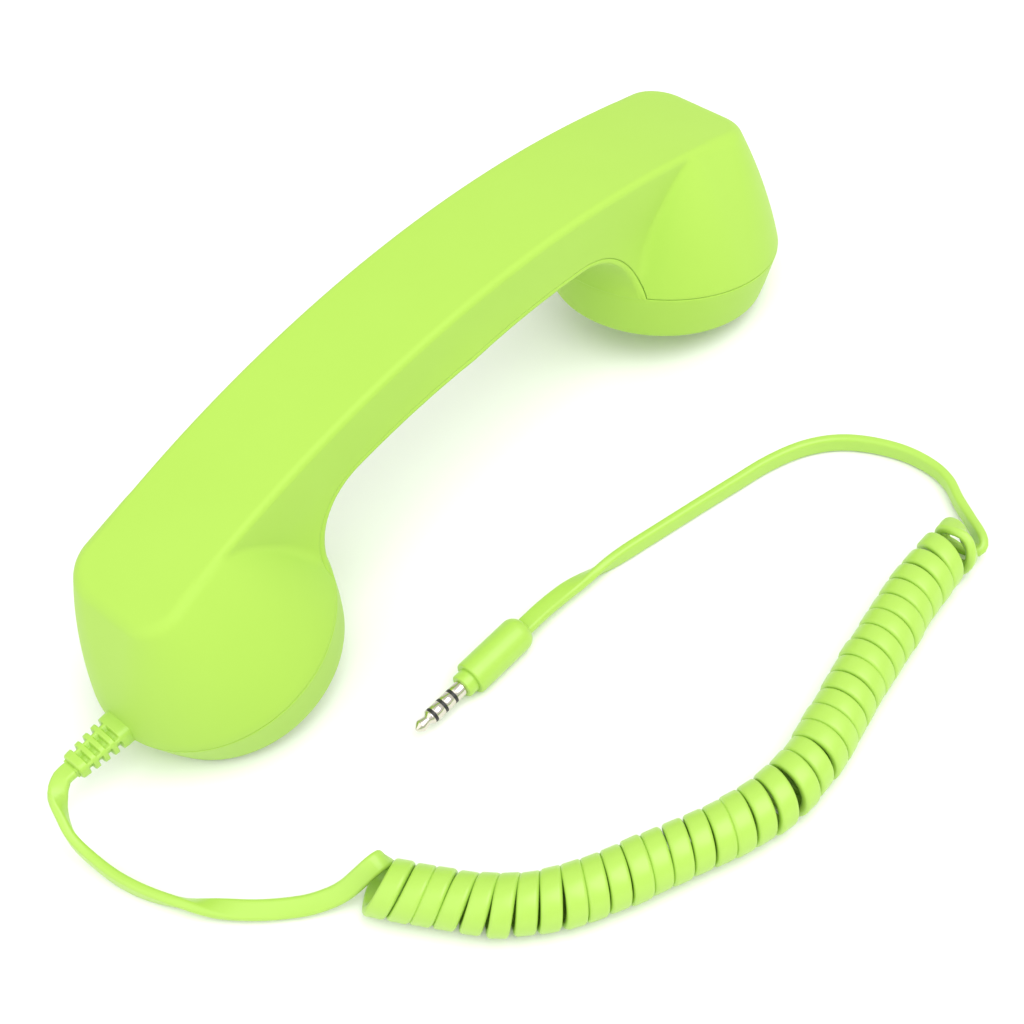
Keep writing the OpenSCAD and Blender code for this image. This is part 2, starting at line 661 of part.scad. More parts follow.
module plug_mould()
    color(lime) difference() {
        translate([plug_x, plug_y, plug_z]) rotate([0, -90, 0]) rotate_extrude()
            polygon(concat([[0, 0]], [for (a = [-90:15:0]) [mould_d / 2 - mould_round + mould_round * cos(a),
                mould_round + mould_round * sin(a)]], [[mould_d / 2, mould_l - 0.4],
                [mould_d / 2 - 0.4, mould_l], [0, mould_l]]));
        at_plug(-collar_in) cylinder(r = collar_r, h = collar_in + 1);
    }

module plug_collar() color(lime) washer(collar_r, root_r, -collar_in, collar_out);
module plug_sleeve()
    color(steel) {
        washer(root_r, core_r, -collar_in, collar_out + 1);
        washer(pin_r, core_r, collar_out, collar_out + band_step - band_w / 2);
    }

module pin_ring(k)
    washer(pin_r, core_r, collar_out + k * band_step + band_w / 2, collar_out + (k + 1) * band_step - band_w / 2);
module plug_ring_mic() color(steel) pin_ring(1);
module plug_ring_ear() color(steel) pin_ring(2);
module plug_insulators()
    color(black) for (k = [1:3])
        washer(pin_r, core_r, collar_out + k * band_step - band_w / 2, collar_out + k * band_step + band_w / 2);
module plug_tip() {
    tip_l = pin_l - tip_from;
    color(steel) {
        at_plug(-collar_in) cylinder(r = core_r, h = collar_in + collar_out + tip_from + 0.5);
        at_plug(collar_out + tip_from) rotate_extrude()
            polygon([[0, 0], [pin_r, 0], [pin_r * 0.72, tip_l * 0.34], [pin_r * 0.95, tip_l * 0.56],
                [pin_r * 0.86, tip_l * 0.72], [0.25, tip_l], [0, tip_l]]);
    }
}

outer_shell();
inner_shell();
ear_cap();
mouth_cap();
ear_cloth();
mouth_cloth();
speaker_gasket();
speaker_basket();
speaker_diaphragm();
voice_coil();
speaker_magnet();
mic_boot();
mic_capsule();
button_board();
board_screws();
tact_switch();
switch_plunger();
call_button();
ballast_bars();
ballast_screws();
shell_screws();
cord_clamp();
clamp_screws();
speaker_leads();
mic_leads();
cord_inner_end();
strain_relief();
lead_cord();
curly_cord();
tail_cord();
plug_mould();
plug_collar();
plug_sleeve();
plug_ring_mic();
plug_ring_ear();
plug_tip();
plug_insulators();
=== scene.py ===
# Retro telephone handset in soft-touch lime, with its curly cord and four-pole plug.
import bmesh
import bpy
import math
import numpy as np
from mathutils import Matrix, Vector


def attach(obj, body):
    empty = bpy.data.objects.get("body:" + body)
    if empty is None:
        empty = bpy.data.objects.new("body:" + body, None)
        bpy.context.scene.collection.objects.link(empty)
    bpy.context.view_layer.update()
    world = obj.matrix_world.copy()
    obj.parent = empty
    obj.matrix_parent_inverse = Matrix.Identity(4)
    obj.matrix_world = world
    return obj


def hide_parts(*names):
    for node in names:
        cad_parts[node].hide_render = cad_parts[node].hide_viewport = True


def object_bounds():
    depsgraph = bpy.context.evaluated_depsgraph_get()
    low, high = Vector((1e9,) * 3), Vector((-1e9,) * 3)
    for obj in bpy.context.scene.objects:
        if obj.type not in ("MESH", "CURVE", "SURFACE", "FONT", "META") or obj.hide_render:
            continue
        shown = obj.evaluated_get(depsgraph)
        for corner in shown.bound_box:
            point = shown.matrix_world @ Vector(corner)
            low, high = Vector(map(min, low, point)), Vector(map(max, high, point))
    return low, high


mm = 0.001
straightUp = np.array([0, 0, 1.0])
onAxis = 0.01    # turned profiles start this far from their axis, so that no face folds onto it
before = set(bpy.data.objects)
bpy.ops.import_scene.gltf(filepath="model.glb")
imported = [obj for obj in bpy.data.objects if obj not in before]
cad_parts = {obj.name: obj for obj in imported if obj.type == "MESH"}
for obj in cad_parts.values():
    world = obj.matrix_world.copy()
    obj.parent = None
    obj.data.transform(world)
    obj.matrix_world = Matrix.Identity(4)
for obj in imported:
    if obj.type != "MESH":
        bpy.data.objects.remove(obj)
cadLow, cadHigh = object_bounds()
print("frame loaded:", len(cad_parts), "nodes")

# Driving sizes of the handset in millimetres: the main ones are the CAD's, and the grip's width,
# the neck and the crowns are fuller or rounder here
handset = {
    "cupPitch": 150, "height": 62, "cupRadius": 29.3, "cupTilt": 13.4, "wall": 2.2,
    "arcRadius": 275, "gripDepth": 16.1, "topHalf": 15.0, "bottomHalf": 13.5,
    "neckRadius": 17, "neckFlare": 3.7, "flareHeight": 20, "lip": 1.2,
    "ringHeight": 13.2, "rimRadius": 26.3, "rimRound": 2.5,
    "crownHeight": 31.5, "crownOut": 12.3, "crownIn": 15, "crownCorner": 7.5, "crownBulge": 1.1,
    "ridgeRound": 1.7, "spineEnd": -2, "bowlTop": 1.2, "bowlShare": 0.9,
    "creaseLeast": 0.5, "creaseRound": 1.8, "creaseFade": 6, "creaseSharpest": 0.02,
    "capRadius": 21.5, "capDepth": 2.8, "floorThick": 1.6,
}
tilt = math.radians(handset["cupTilt"])
cupX = handset["cupPitch"] / 2
seamZ = (handset["rimRound"] + (handset["ringHeight"] - handset["rimRound"]) * math.cos(tilt)
         + (handset["rimRadius"] - handset["rimRound"]) * math.sin(tilt))
arcZ = handset["height"] - handset["arcRadius"]
underRadius = handset["arcRadius"] - handset["gripDepth"]


# Camera: its place in millimetres, and which ways its right side and its top point
cameraSettings = {
    "place": (-179.5, -252.9, 341.9), "lens": 67.84, "sensorWidth": 36, "clipStart": 0.01, "clipEnd": 10,
    "right": (0.67746, -0.72142, -0.14353), "up": (0.62215, 0.45790, 0.63503),
}


def makeCamera():
    data = bpy.data.cameras.new("studioCamera")
    data.lens = cameraSettings["lens"]
    data.sensor_width = cameraSettings["sensorWidth"]
    data.clip_start = cameraSettings["clipStart"]
    data.clip_end = cameraSettings["clipEnd"]
    camera = bpy.data.objects.new("studioCamera", data)
    right = Vector(cameraSettings["right"]).normalized()
    up = Vector(cameraSettings["up"])
    back = right.cross(up).normalized()
    up = back.cross(right)
    turn = Matrix((right, up, back)).transposed()
    place = Vector(cameraSettings["place"]) * mm
    camera.matrix_world = Matrix.Translation(place) @ turn.to_4x4()
    bpy.context.scene.collection.objects.link(camera)
    bpy.context.scene.camera = camera


makeCamera()


def makeMesh(name, points, faces, slot, body="handset", replaced=()):
    # points in millimetres in the object's frame
    data = bpy.data.meshes.new(name)
    data.from_pydata([tuple(p) for p in np.asarray(points, float) * mm], [], faces)
    data.validate()
    data.shade_smooth()
    piece = bpy.data.objects.new(name, data)
    bpy.context.scene.collection.objects.link(piece)
    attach(piece, body)
    if replaced:
        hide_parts(*replaced)
    return piece


def gridFaces(rows, columns, wrap=False):
    # quads between rows of points; wrap joins the last column to the first
    faces = []
    for i in range(rows - 1):
        for j in range(columns if wrap else columns - 1):
            k = (j + 1) % columns
            a, b = i * columns, (i + 1) * columns
            faces.append((a + j, a + k, b + k, b + j))
    return faces


def loftTube(rings):
    # one closed skin over rings of equal length
    count = len(rings[0])
    faces = gridFaces(len(rings), count, wrap=True)
    faces.append(tuple(range(count - 1, -1, -1)))
    faces.append(tuple((len(rings) - 1) * count + k for k in range(count)))
    return np.concatenate(rings), faces


def lathe(profile, place, segments):
    # profile is a closed loop of (radius, height); place maps (x, y, height) to the object's frame
    turns = np.linspace(0, 2 * math.pi, segments, endpoint=False)
    points, count = [], len(profile)
    for turn in turns:
        points += [place(r * math.cos(turn), r * math.sin(turn), h) for r, h in profile]
    faces = []
    for i in range(segments):
        a, b = i * count, (i + 1) % segments * count
        faces += [(a + j, b + j, b + (j + 1) % count, a + (j + 1) % count) for j in range(count)]
    return np.array(points), faces


def arcPoints(centreR, centreH, radius, start, end, steps):
    angles = np.radians(np.linspace(start, end, steps + 1))
    return [(centreR + radius * math.cos(a), centreH + radius * math.sin(a)) for a in angles]


def smoothRamp(value, low, high):
    t = np.clip((value - low) / (high - low), 0, 1)
    return t * t * (3 - 2 * t)


def lengthAlong(path):
    # distance from the path's start to each of its points
    return np.concatenate([[0], np.cumsum(np.linalg.norm(np.diff(path, axis=0), axis=1))])


def splinePoints(points, spacing):
    # Catmull-Rom curve through given points, resampled at even spacing
    samples = 24
    p = np.array(points, float)
    p = np.vstack([2 * p[0] - p[1], p, 2 * p[-1] - p[-2]])
    t = np.linspace(0, 1, samples, endpoint=False)[:, None]
    dense = []
    for i in range(1, len(p) - 2):
        a, b, c, d = p[i - 1], p[i], p[i + 1], p[i + 2]
        dense.append(0.5 * (2 * b + (c - a) * t + (2 * a - 5 * b + 4 * c - d) * t ** 2
                            + (3 * b - a - 3 * c + d) * t ** 3))
    dense = np.vstack(dense + [p[-2:-1]])
    along = lengthAlong(dense)
    wanted = np.linspace(0, along[-1], max(2, int(round(along[-1] / spacing)) + 1))
    return np.stack([np.interp(wanted, along, dense[:, k]) for k in range(3)], axis=1)


def unitRows(v):
    return v / np.linalg.norm(v, axis=-1, keepdims=True)


# Flat cord: lead, curls and tail in one ribbon, in millimetres, with realLength in metres
cord = {
    "width": 4.35, "thickness": 2.2, "edgeRound": 0.85, "roundSteps": 4, "realLength": 1.37,
    "axisStep": 0.5, "routeStep": 1.1,
    # the curls: outside diameter, rise of one turn, and the angles of their first and last point
    "curlOuter": 12.45, "pitch": 4.42, "ringsPerTurn": 30, "firstAngle": 55, "lastAngle": -90,
    # where on the route they start, and how far the first turns lean back
    "startReach": 8, "firstLean": 1.9, "restLean": 0.3, "leanTurns": (0.5, 7),
    # gaps that open at the bend and before the last turn; turns of the end are counted back from it
    "bendAt": 90, "bendGap": 1.5, "bendTurns": 0.8, "lastGap": 2.4, "lastGapTurns": (1.75, 0.95),
    # uneven winding, with one new random value in each wobbleTurns
    "wobble": 0.18, "wobbleTurns": 0.8, "wobbleStart": (0.5, 1), "seed": 7,
    # the first turn starts wide and the last one ends tight
    "firstLoose": 1.0, "firstLooseTurns": 0.45, "lastTight": 0.8, "lastTightTurns": (1, 0.6),
    # the last loop stands nearly on its edge, so its middle lies higher over the floor
    "floorGap": 0.15, "floorSoftness": 4, "loopLift": 1.15, "loopTurns": (1.15, 0.9),
    # the way that the ribbon's face looks where the lead comes in and in the last loop
    "loopFace": (-0.4, -0.5, 0.75), "loopFaceTurns": (0.02, 0.2),
    # the side that the face looks to where lead and tail stand on edge, and how far from each end
    "leadEdge": {"side": -1, "from": (2, 14), "to": (62, 18)},
    "tailEdge": {"side": 1, "from": (0, 12), "to": (34, 10)},
    # the joins of lead, curls and tail
    "joinRings": 7, "joinStep": 3, "easeReach": 9, "easePasses": 14, "easeShare": 0.6,
}
# Routes from the boot's end to the plug's back. They stay within millimetres of the CAD's
# round ones, and differ most where the ribbon leaves the curls
leadRoute = [
    (-116, 0, 12.8), (-117.7, 0, 12.8), (-119.4, 0, 12.6), (-122.2, -1.5, 11.4), (-124.4, -4.4, 8.9),
    (-126, -8.6, 6.2), (-126, -14.5, 4), (-125, -23, 2.6), (-122.3, -32, 2.3), (-117.5, -41.5, 2.3),
    (-111.5, -50, 2.3), (-105, -56.8, 2.5), (-100.4, -60.5, 3.5), (-97.5, -62.5, 5),
    (-95.2, -63.7, 6.6), (-93, -64.9, 8.6), (-91, -66, 10.5),
]
curlRoute = [
    (-96, -61.5), (-92, -70), (-87, -79.5), (-81, -89.5), (-73, -97.5), (-63, -103.5),
    (-52, -108.5), (-41, -113.5), (-30, -117), (-18.5, -117.5), (-7, -115.5), (5, -113),
    (17, -111), (29, -109), (40, -108.3), (48, -108.3),
]
tailRoute = [
    (48.4, -112.6, 2.6), (50.3, -111.9, 3.5), (52.4, -109.3, 3.6), (54.6, -106.1, 3),
    (58.2, -100.2, 2.5), (61.6, -95.2, 2.3), (63.2, -89.5, 2.3), (63, -82, 2.3), (60.5, -74, 2.3),
    (56.5, -67.5, 2.3), (50.5, -62.5, 2.3), (42.5, -59, 2.3), (33.5, -56.7, 2.3), (24, -54.4, 2.3),
    (14.5, -52.2, 2.3), (5, -50, 2.3), (-4.5, -48, 2.4), (-13, -46.7, 3.1), (-20, -46.4, 3.8),
    (-24.7, -46.4, 4), (-28.5, -46.4, 4),
]


def curlPath():
    # left-handed helix round the route's line, resting on the floor, with its end turns drawn loose
    coilRadius = (cord["curlOuter"] - cord["thickness"]) / 2
    axis = splinePoints([(x, y, cord["curlOuter"] / 2) for x, y in curlRoute], cord["axisStep"])
    reach = lengthAlong(axis)
    wound = reach[-1] - cord["startReach"] - cord["lastGap"] - cord["bendGap"]
    part = (cord["firstAngle"] - cord["lastAngle"]) / 360
    turns = round(wound / cord["pitch"] - part) + part
    turn = np.linspace(0, turns, int(turns * cord["ringsPerTurn"]) + 1)

    def fromEnd(key):
        start, end = cord[key]
        return smoothRamp(turn, turns - start, turns - end)

    s = cord["startReach"] + turn * wound / turns
    angle = math.radians(cord["firstAngle"]) - 2 * math.pi * turn
    lean = cord["firstLean"] * (1 - smoothRamp(turn, *cord["leanTurns"])) + cord["restLean"]
    s = s + lean * (np.sin(angle) - 1)
    bendTurn = (cord["bendAt"] - cord["startReach"]) / cord["pitch"]
    s = s + cord["bendGap"] * smoothRamp(turn, bendTurn, bendTurn + cord["bendTurns"])
    s = s + cord["lastGap"] * fromEnd("lastGapTurns")
    centre = np.stack([np.interp(s, reach, axis[:, k]) for k in range(3)], axis=1)
    ways = [np.interp(s, reach, np.gradient(axis[:, k])) for k in range(3)]
    heading = unitRows(np.stack(ways, axis=1))
    side = -unitRows(np.cross(heading, straightUp))
    rng = np.random.default_rng(cord["seed"])
    knots = np.arange(0, turns + 2, cord["wobbleTurns"])
    wobbleR = np.interp(turn, knots, rng.normal(0, cord["wobble"], len(knots)))
    wobbleS = np.interp(turn, knots, rng.normal(0, cord["wobble"], len(knots)))
    loose = (cord["firstLoose"] * (1 - smoothRamp(turn, 0, cord["firstLooseTurns"]))
             - cord["lastTight"] * fromEnd("lastTightTurns"))
    radius = coilRadius + wobbleR * smoothRamp(turn, *cord["wobbleStart"]) + loose
    normal = np.cos(angle)[:, None] * side + np.sin(angle)[:, None] * straightUp
    place = centre + radius[:, None] * normal + wobbleS[:, None] * heading
    last = fromEnd("loopTurns")
    lowest = cord["thickness"] / 2 + cord["floorGap"] + cord["loopLift"] * last
    # a soft floor: points under it are lifted and those well above it stay
    softness = cord["floorSoftness"]
    place[:, 2] = lowest + np.log1p(np.exp((place[:, 2] - lowest) * softness)) / softness
    first = smoothRamp(turn, *cord["loopFaceTurns"])[:, None]
    last = last[:, None]
    loopAxis = unitRows(np.array(cord["loopFace"]))
    turned = normal - (normal @ loopAxis)[:, None] * loopAxis
    face = (1 - first) * np.array(cord["loopFace"]) + first * ((1 - last) * normal + last * turned)
    return place, unitRows(face)


def ribbonSection():
    # rounded rectangle, across the width first, then through the thickness
    r = cord["edgeRound"]
    w, t = cord["width"] / 2 - r, cord["thickness"] / 2 - r
    section = []
    for cx, cy, first in ((w, t, 0), (-w, t, 90), (-w, -t, 180), (w, -t, 270)):
        section += arcPoints(cx, cy, r, first, first + 90, cord["roundSteps"])
    return np.array(section)


def squareTo(normals, heading):
    # unit normals at right angles to the heading
    return unitRows(normals - (normals * heading).sum(1, keepdims=True) * heading)


def blendNormals(path, first, last, edge):
    # turns the ribbon from one face direction to the other by way of standing on its edge
    heading = unitRows(np.gradient(path, axis=0))
    along = lengthAlong(path)
    sideways = unitRows(np.cross(heading, straightUp)) * edge["side"]
    start, end = edge["to"]
    a = 1 - smoothRamp(along, *edge["from"])
    b = smoothRamp(along, along[-1] - start, along[-1] - end)
    mixed = a[:, None] * np.array(first) + b[:, None] * np.array(last) + (1 - a - b)[:, None] * sideways
    return squareTo(mixed, heading)


def easeJoins(path, joins):
    # evens out the path's direction where its pieces meet
    path = path.copy()
    reach = cord["easeReach"]
    for _ in range(cord["easePasses"]):
        middle = (path[:-2] + path[2:]) / 2
        for j in joins:
            rows = np.arange(j - reach, j + reach)
            share = (1 - np.abs(rows - j) / reach)[:, None] * cord["easeShare"]
            path[rows] += share * (middle[rows - 1] - path[rows])
    return path


def makeCord():
    curls, curlNormals = curlPath()
    rings, step = cord["joinRings"], cord["joinStep"]
    lead = splinePoints(leadRoute + [tuple(p) for p in curls[:rings:step]], cord["routeStep"])
    lead = lead[:np.linalg.norm(lead - curls[0], axis=1).argmin()]
    leadNormals = blendNormals(lead, straightUp, curlNormals[0], cord["leadEdge"])
    tail = splinePoints([tuple(p) for p in curls[-rings::step]] + tailRoute, cord["routeStep"])
    tail = tail[np.linalg.norm(tail - curls[-1], axis=1).argmin() + 1:]
    tailNormals = blendNormals(tail, curlNormals[-1], straightUp, cord["tailEdge"])
    joins = (len(lead), len(lead) + len(curls))
    path = easeJoins(np.vstack([lead, curls, tail]), joins)
    normals = easeJoins(np.vstack([leadNormals, curlNormals, tailNormals]), joins)
    heading = unitRows(np.gradient(path, axis=0))
    normals = squareTo(normals, heading)
    across = np.cross(heading, normals)
    section = ribbonSection()
    skin = [p + section[:, :1] * a + section[:, 1:] * n for p, a, n in zip(path, across, normals)]
    points, faces = loftTube(skin)
    ribbon = makeMesh("curlyCord", points, faces, replaced=("lead_cord", "curly_cord", "tail_cord"),
                      slot="cord_lime")
    return ribbon, path


cordPiece, cordPath = makeCord()
cordLength = lengthAlong(cordPath)[-1] * mm
print("cord made:", round(cordLength, 3), "m")


# The handset's skin is one smooth field in millimetres, which is below 0 inside
def cupFrame(x, z):
    # across the cup outwards, and up its axis from the parting line
    dx, dz = x - cupX, z - seamZ
    return dx * math.cos(tilt) - dz * math.sin(tilt), dx * math.sin(tilt) + dz * math.cos(tilt)


def roundJoin(a, b, radius):
    corner = np.hypot(np.maximum(radius - a, 0), np.maximum(radius - b, 0))
    return np.maximum(radius, np.minimum(a, b)) - corner


def softJoin(a, b, reach):
    gap = np.maximum(reach - np.abs(a - b), 0)
    return np.minimum(a, b) - gap * gap / (4 * reach)


def neckHalf(h):
    return handset["neckFlare"] * np.clip(1 - h / handset["flareHeight"], 0, 1) ** 2


def footRadius(h):
    # the cup is round from its parting line down, and tapers to the rim
    taper = handset["cupRadius"] - handset["rimRadius"]
    return handset["cupRadius"] + np.minimum(h, 0) * taper / handset["ringHeight"]


def underField(x, y, z):
    u, h = cupFrame(x, z)
    cupWall = np.hypot(u, y) - footRadius(h)
    return roundJoin(cupWall, underRadius - np.hypot(x, z - arcZ), handset["neckRadius"])


def sideHalf(x, z):
    u, h = cupFrame(x, z)
    slope = (handset["topHalf"] - handset["bottomHalf"]) / handset["gripDepth"]
    return handset["bottomHalf"] + slope * (np.hypot(x, z - arcZ) - underRadius) + neckHalf(h)


def skinField(x, y, z):
    x, y = np.abs(x), np.abs(y)
    u, h = cupFrame(x, z)
    top = np.hypot(x, z - arcZ) - handset["arcRadius"]
    spine = np.maximum(underField(x, y, z), y - sideHalf(x, z))
    spine = np.maximum(spine, u - handset["spineEnd"])
    # bowl: its round foot turns into the crown's rounded rectangle
    t = np.clip(h / handset["crownHeight"], 0, handset["bowlTop"])
    foot = footRadius(h)
    ends = np.where(u > 0, handset["crownOut"], handset["crownIn"])
    halfX = foot + (ends - handset["cupRadius"]) * t
    halfY = foot + (handset["topHalf"] - handset["cupRadius"]) * t
    corner = foot + (handset["crownCorner"] - handset["cupRadius"]) * t
    qx, qy = np.abs(u) - (halfX - corner), y - (halfY - corner)
    bowl = np.hypot(np.maximum(qx, 0), np.maximum(qy, 0)) + np.minimum(np.maximum(qx, qy), 0) - corner
    rise = np.clip(t, 0, 1)
    bowl = (bowl - handset["crownBulge"] * 4 * rise * (1 - rise)) * handset["bowlShare"]
    fall = np.clip(1 - h / handset["crownHeight"], 0, 1)
    crease = (np.clip(h / handset["creaseFade"], handset["creaseSharpest"], 1)
              * (handset["creaseLeast"] + handset["creaseRound"] * fall))
    body = softJoin(spine, bowl, crease)
    r = handset["ridgeRound"]
    ridge = np.hypot(np.maximum(r + body, 0), np.maximum(r + top, 0))
    return np.minimum(-r, np.maximum(body, top)) + ridge


# Stations: planes across the grip, then a fan of planes about a line under the neck, then the seam.
# Edges are steps from the parting line, with how deep each one dips under the skin
stations = {
    "gripSteps": 44, "fanSteps": 190, "fanEnd": 2.5, "pivotX": 37,
    "edge": (0.35, 0.2, 0.1, 0.06), "edgeDrop": (0, 0.04, 0.14, 0.35),
    "skirtLevels": (-0.4, -1.0), "skirtDive": 0.35,
    "fineSteps": 500, "innerColumns": 26, "outerColumns": 117, "creaseGap": 0.3, "creaseDip": 0.12,
}
# How a point on the skin is found along a ray: many careful walks, then a few steps by the slope
solver = {
    "firstReach": 45.0, "walks": 60, "walkShare": 0.85,
    "polishes": 4, "probe": 0.02, "flattest": 0.2, "longestStep": 0.3,
    "searchStart": 0.5, "searchEnd": 75, "searchSteps": 600, "halvings": 40,
}


def shellStations(forInner):
    # each station is an origin and a direction in the xz plane, and the field is cut along both
    pivot = np.array([stations["pivotX"], seamZ - (stations["pivotX"] - cupX) * math.tan(tilt)])
    gripEnd = math.atan2(pivot[0], pivot[1] - arcZ)
    rows = []
    for a in np.linspace(0, gripEnd, stations["gripSteps"], endpoint=False):
        way = np.array([math.sin(a), math.cos(a)])
        rows.append((way * (math.hypot(pivot[0], pivot[1] - arcZ)) + [0, arcZ], way))
    seamTurn = math.pi / 2 + tilt
    last = 0 if forInner else math.radians(stations["fanEnd"])
    for a in np.linspace(gripEnd, seamTurn - last, stations["fanSteps"]):
        rows.append((pivot, np.array([math.sin(a), math.cos(a)])))
    acrossCup = np.array([math.cos(tilt), -math.sin(tilt)])
    upCup = np.array([math.sin(tilt), math.cos(tilt)])
    for h in stations["skirtLevels"] if forInner else stations["edge"]:
        rows.append((pivot + upCup * h, acrossCup))
    return np.array([r[0] for r in rows]), np.array([r[1] for r in rows])


def solveRays(origins, ways, middles, angles, level):
    # angles from the pivot side (0) to the far side (pi); level is how deep under the skin
    def place(d):
        inPlane = middles - d * np.cos(angles)
        across = d * np.sin(angles)
        return (origins[:, :1] + inPlane * ways[:, :1], across, origins[:, 1:] + inPlane * ways[:, 1:])

    distance = np.full(angles.shape, solver["firstReach"])
    for _ in range(solver["walks"]):
        distance -= solver["walkShare"] * (skinField(*place(distance)) + level)
    probe, longest = solver["probe"], solver["longestStep"]
    for _ in range(solver["polishes"]):
        here = skinField(*place(distance)) + level
        slope = (skinField(*place(distance + probe)) + level - here) / probe
        slope = np.where(np.abs(slope) < solver["flattest"], 1, slope)
        distance -= np.clip(here / slope, -longest, longest)
    return np.stack(place(distance), axis=-1)


def sectionMiddles(origins, ways):
    # halfway between the neck and the far wall along each station's direction
    d = np.linspace(solver["searchStart"], solver["searchEnd"], solver["searchSteps"])
    x = origins[:, :1] + d * ways[:, :1]
    z = origins[:, 1:] + d * ways[:, 1:]
    inside = skinField(x, np.zeros_like(x), z) < 0
    first = d[inside.argmax(1)]
    last = d[inside.shape[1] - 1 - inside[:, ::-1].argmax(1)]
    return ((first + last) / 2)[:, None]


def cornerAngles(origins, ways, middles):
    # where the side meets the underside and the neck
    low, high = np.zeros((len(origins), 1)), middles.copy()
    for _ in range(solver["halvings"]):
        d = (low + high) / 2
        x, z = origins[:, :1] + d * ways[:, :1], origins[:, 1:] + d * ways[:, 1:]
        outside = underField(x, sideHalf(x, z), z) > 0
        low, high = np.where(outside, d, low), np.where(outside, high, d)
    x, z = origins[:, :1] + low * ways[:, :1], origins[:, 1:] + low * ways[:, 1:]
    return np.arctan2(sideHalf(x, z), middles - low)


def columnAngles(origins, ways, middles, forInner):
    # even steps of length along each half section, closer together at the parting line
    fine = np.tile(np.linspace(0, math.pi, stations["fineSteps"]), (len(origins), 1))
    points = solveRays(origins, ways, middles, fine, 0)
    steps = np.linalg.norm(np.diff(points, axis=1), axis=2)
    along = np.concatenate([np.zeros((len(points), 1)), np.cumsum(steps, axis=1)], axis=1)
    corner = cornerAngles(origins, ways, middles)
    edge, drop = stations["edge"], stations["edgeDrop"]
    innerColumns, outerColumns = stations["innerColumns"], stations["outerColumns"]
    gap = stations["creaseGap"]
    rows = []
    for k in range(len(origins)):
        atCorner = np.interp(corner[k, 0], fine[k], along[k])
        parting = atCorner + handset["lip"]
        if forInner:
            inner = np.linspace(0, atCorner - gap, innerColumns)
            lip = [atCorner, atCorner + gap] + [parting - e for e in edge]
            wanted = np.concatenate([inner, lip])
        else:
            seam = [parting + e for e in edge[::-1]]
            outer = np.linspace(parting + edge[0], along[k, -1], outerColumns + 1)[1:]
            wanted = np.concatenate([seam, outer])
        rows.append(np.interp(wanted, along[k], fine[k]))
    if forInner:
        levels = np.array([0.0] * innerColumns + [stations["creaseDip"], 0] + list(drop))
    else:
        levels = np.array(list(drop[::-1]) + [0.0] * outerColumns)
    return np.array(rows), levels


def quarterGrid(forInner):
    origins, ways = shellStations(forInner)
    middles = sectionMiddles(origins, ways)
    angles, levels = columnAngles(origins, ways, middles, forInner)
    level = np.tile(levels, (len(origins), 1))
    if forInner:
        level[-1] += stations["skirtDive"]    # the skirt dives into the ring
    else:
        seamRows = range(len(origins) - len(stations["edge"]), len(origins))
        for row, drop in zip(seamRows, stations["edgeDrop"]):
            level[row] = np.maximum(level[row], drop)
    outside = solveRays(origins, ways, middles, angles, level)
    inside = solveRays(origins, ways, middles, angles, np.maximum(level, handset["wall"]))
    return outside, inside


def mirrored(grid, forInner):
    # from one quarter to the whole handset: columns over y, then rows over x
    flip = (grid * [1, -1, 1])[:, ::-1]
    if forInner:
        whole = np.concatenate([flip[:, :-1], grid], axis=1)
    else:
        whole = np.concatenate([grid, flip[:, 1:]], axis=1)
    other = (whole * [-1, 1, 1])[::-1][:-1]
    return np.concatenate([other, whole], axis=0)


def closedShell(forInner):
    # outer skin, inner skin and the strip that joins their edges
    outside, inside = (mirrored(g, forInner) for g in quarterGrid(forInner))
    rows, columns = outside.shape[:2]
    points = np.concatenate([outside.reshape(-1, 3), inside.reshape(-1, 3)])
    skin = gridFaces(rows, columns)
    back = rows * columns
    faces = [f[::-1] for f in skin] + [tuple(back + k for k in f) for f in skin]
    loop = [i * columns for i in range(rows)]
    loop += [(rows - 1) * columns + j for j in range(1, columns)]
    loop += [i * columns + columns - 1 for i in range(rows - 2, -1, -1)]
    loop += list(range(columns - 2, 0, -1))
    for a, b in zip(loop, loop[1:] + loop[:1]):
        faces.append((a, b, back + b, back + a))
    return points, faces


def fixNormals(piece):
    work = bmesh.new()
    work.from_mesh(piece.data)
    bmesh.ops.recalc_face_normals(work, faces=work.faces)
    work.to_mesh(piece.data)
    work.free()
    piece.data.shade_smooth()


def atCup(side):
    # maps a cup's own frame to the object's frame
    def place(u, v, h):
        x = cupX + u * math.cos(tilt) + h * math.sin(tilt)
        return (side * x, v, seamZ - u * math.sin(tilt) + h * math.cos(tilt))
    return place


# Rim ring of a cup: seamTop is inset from the cup's radius and drop under the parting line,
# and seamEdge is inset from the tapered wall and drop
rim = {
    "segments": 160, "seamTop": ((1.6, 0.06), (0.36, 0.06)),
    "seamEdge": ((0.14, 0.1), (0.04, 0.2), (0, 0.36)), "wallDrops": (2, 4, 6, 8),
    "footOut": 0.35, "footSteps": 10, "pocketGap": 0.1, "pocketRound": 0.4, "pocketSteps": 4,
    "floorRadius": 24, "innerInset": 2.4, "innerDrop": 0.4,
}


